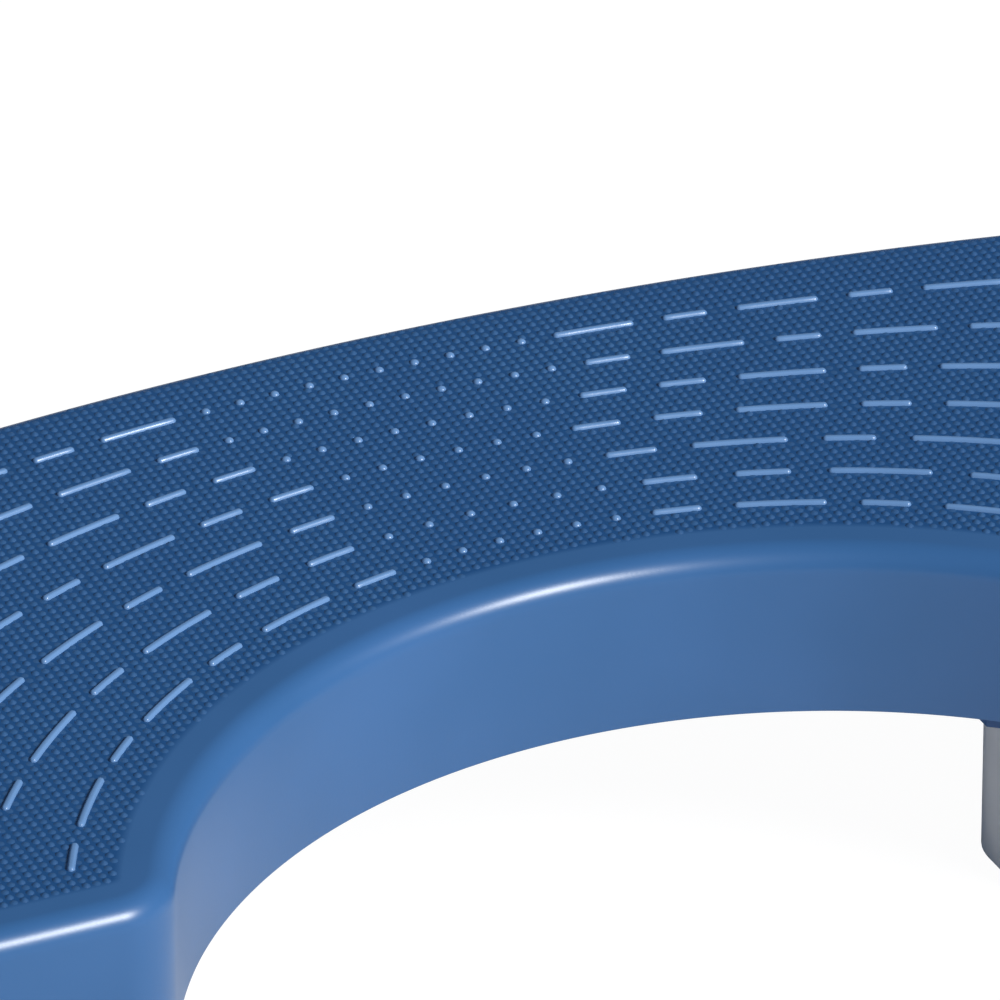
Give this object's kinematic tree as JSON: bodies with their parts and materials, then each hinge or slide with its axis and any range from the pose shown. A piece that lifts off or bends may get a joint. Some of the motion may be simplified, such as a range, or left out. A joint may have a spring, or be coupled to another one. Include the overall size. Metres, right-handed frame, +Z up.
{
  "type": "poolside step platform",
  "caption": "Low blue slip-resistant poolside platform, arc-backed with a round recess in its front edge, on grey box legs with levelling feet.",
  "frame": {"origin": "on the floor under the middle of the deck's box, with the feet screwed fully in", "axes": "+Z up; the recess opens towards -Y and the long curved edge is at +Y; +X is to the right of someone who faces +Y"},
  "size_m": [0.68, 0.32, 0.1413],
  "materials": {
    "deck_blue": "moulded polyethylene, satin skin with a fine raised diamond texture on the tread",
    "mark_blue": "smooth satin-gloss raised studs and bars",
    "base_blue": "moulded polyethylene, satin",
    "leg_grey": "moulded satin grey",
    "cap_grey": "moulded dark grey",
    "pad_rubber": "matt moulded rubber",
    "stainless": "turned stainless steel",
    "brass": "turned brass"
  },
  "bodies": {
    "platform": {"deck_shell": "deck_blue", "tread_marks": "mark_blue", "deck_base": "base_blue", "base_screws": "stainless", "leg_front_left": "leg_grey", "leg_front_right": "leg_grey", "leg_rear_left": "leg_grey", "leg_rear_right": "leg_grey", "leg_bolts_front_left": "stainless", "leg_bolts_front_right": "stainless", "leg_bolts_rear_left": "stainless", "leg_bolts_rear_right": "stainless", "bolt_washers_front_left": "stainless", "bolt_washers_front_right": "stainless", "bolt_washers_rear_left": "stainless", "bolt_washers_rear_right": "stainless", "bolt_inserts_front_left": "brass", "bolt_inserts_front_right": "brass", "bolt_inserts_rear_left": "brass", "bolt_inserts_rear_right": "brass", "cap_insert_front_left": "brass", "cap_insert_front_right": "brass", "cap_insert_rear_left": "brass", "cap_insert_rear_right": "brass", "leg_cap_front_left": "cap_grey", "leg_cap_front_right": "cap_grey", "leg_cap_rear_left": "cap_grey", "leg_cap_rear_right": "cap_grey"},
    "foot_front_left": {"foot_stem_front_left": "stainless", "stop_nut_front_left": "stainless", "foot_pad_front_left": "pad_rubber"},
    "foot_front_right": {"foot_stem_front_right": "stainless", "stop_nut_front_right": "stainless", "foot_pad_front_right": "pad_rubber"},
    "foot_rear_left": {"foot_stem_rear_left": "stainless", "stop_nut_rear_left": "stainless", "foot_pad_rear_left": "pad_rubber"},
    "foot_rear_right": {"foot_stem_rear_right": "stainless", "stop_nut_rear_right": "stainless", "foot_pad_rear_right": "pad_rubber"}
  },
  "joints": [
    {"name": "foot_front_left_level", "type": "slide", "parent": "platform", "child": "foot_front_left", "axis": [0, 0, -1], "range_m": [0, 0.012]},
    {"name": "foot_front_right_level", "type": "slide", "parent": "platform", "child": "foot_front_right", "axis": [0, 0, -1], "range_m": [0, 0.012]},
    {"name": "foot_rear_left_level", "type": "slide", "parent": "platform", "child": "foot_rear_left", "axis": [0, 0, -1], "range_m": [0, 0.012]},
    {"name": "foot_rear_right_level", "type": "slide", "parent": "platform", "child": "foot_rear_right", "axis": [0, 0, -1], "range_m": [0, 0.012]}
  ]
}
